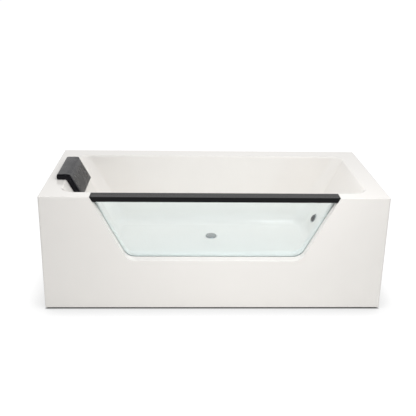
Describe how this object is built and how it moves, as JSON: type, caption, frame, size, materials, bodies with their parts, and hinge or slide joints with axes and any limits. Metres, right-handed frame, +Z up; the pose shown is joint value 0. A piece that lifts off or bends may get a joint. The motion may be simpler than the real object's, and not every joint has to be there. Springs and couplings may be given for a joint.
{
  "type": "cold plunge tub",
  "caption": "Free-standing white acrylic cold plunge tub with a glass front window, black cap rail, bent headrest, drain and chiller ports.",
  "frame": {"origin": "on the floor, under the middle of the tub's outline", "axes": "+X along the tub away from the headrest, -Y towards the glass window, +Z up"},
  "size_m": [1.7, 0.83, 0.6292],
  "materials": {
    "white_acrylic": "gloss",
    "tempered_glass": "clear",
    "grey_rubber": "matt",
    "black_rail": "satin black anodised",
    "black_rubber": "matt",
    "headrest_foam": "matt, foam with a fine skin",
    "clear_soft_plastic": "translucent",
    "chrome": "polished",
    "chrome_plastic": "bright plated",
    "grey_plastic": "moulded",
    "white_plastic": "moulded",
    "black_plastic": "moulded",
    "brass": "turned",
    "stainless": "plain",
    "frame_steel": "grey powder coat",
    "board": "waterproof particle board"
  },
  "bodies": {
    "tub": {"basin_shell": "white_acrylic", "skirt_front": "white_acrylic", "skirt_rear": "white_acrylic", "skirt_left_end": "white_acrylic", "skirt_right_end": "white_acrylic", "window_reveal": "white_acrylic", "window_glass": "tempered_glass", "window_gasket": "grey_rubber", "cap_rail": "black_rail", "rail_end_plate_left": "black_rail", "rail_end_plate_right": "black_rail", "rail_anchor_blocks": "grey_plastic", "rail_glazing_strip": "black_rubber", "drain_flange": "chrome", "drain_gasket_upper": "black_rubber", "drain_gasket_lower": "black_rubber", "drain_lock_nut": "grey_plastic", "plug_cartridge": "brass", "waste_tailpiece": "white_plastic", "tail_coupling_nut": "white_plastic", "jet_body": "chrome_plastic", "jet_gasket": "black_rubber", "jet_lock_nut": "grey_plastic", "suction_body": "chrome_plastic", "suction_cover": "white_plastic", "suction_cover_screw": "stainless", "suction_gasket": "black_rubber", "suction_lock_nut": "grey_plastic", "base_board": "board", "frame_front_rail": "frame_steel", "frame_rear_rail": "frame_steel", "frame_left_cross_rail": "frame_steel", "frame_right_cross_rail": "frame_steel", "frame_left_end_rail": "frame_steel", "frame_right_end_rail": "frame_steel", "skirt_brackets": "frame_steel", "skirt_bracket_screws": "stainless", "board_screws": "stainless", "rim_post_front_left": "frame_steel", "rim_post_rear_left": "frame_steel", "rim_post_front_right": "frame_steel", "rim_post_rear_right": "frame_steel", "foot_inserts": "stainless", "foot_lock_nuts": "stainless"},
    "headrest": {"headrest_pad": "headrest_foam", "headrest_suction_cups": "clear_soft_plastic"},
    "drain_plug": {"pop_up_plug": "chrome", "plug_seal": "black_rubber"},
    "jet_ring": {"jet_ring": "black_plastic"},
    "jet_nozzle": {"jet_eyeball": "black_plastic"},
    "foot_front_left": {"foot_pad_front_left": "black_plastic", "foot_stud_front_left": "stainless"},
    "foot_rear_left": {"foot_pad_rear_left": "black_plastic", "foot_stud_rear_left": "stainless"},
    "foot_front_right": {"foot_pad_front_right": "black_plastic", "foot_stud_front_right": "stainless"},
    "foot_rear_right": {"foot_pad_rear_right": "black_plastic", "foot_stud_rear_right": "stainless"}
  },
  "joints": [
    {"name": "headrest_lift", "type": "slide", "parent": "tub", "child": "headrest", "axis": [0, 0, 1], "range_m": [0, 0.15]},
    {"name": "plug_lift", "type": "slide", "parent": "tub", "child": "drain_plug", "axis": [0, 0, 1], "range_m": [0, 0.009]},
    {"name": "jet_ring_turn", "type": "hinge", "parent": "tub", "child": "jet_ring", "pos_m": [0.58811, 0.128, 0.288], "axis": [-0.8829, 0, 0.4695], "range_deg": [-90, 90]},
    {"name": "nozzle_tilt", "type": "hinge", "parent": "jet_ring", "child": "jet_nozzle", "pos_m": [0.58811, 0.128, 0.288], "axis": [0, 1, 0], "range_deg": [-12, 12]},
    {"name": "foot_front_left_adjust", "type": "slide", "parent": "tub", "child": "foot_front_left", "axis": [0, 0, -1], "range_m": [0, 0.015]},
    {"name": "foot_rear_left_adjust", "type": "slide", "parent": "tub", "child": "foot_rear_left", "axis": [0, 0, -1], "range_m": [0, 0.015]},
    {"name": "foot_front_right_adjust", "type": "slide", "parent": "tub", "child": "foot_front_right", "axis": [0, 0, -1], "range_m": [0, 0.015]},
    {"name": "foot_rear_right_adjust", "type": "slide", "parent": "tub", "child": "foot_rear_right", "axis": [0, 0, -1], "range_m": [0, 0.015]}
  ]
}
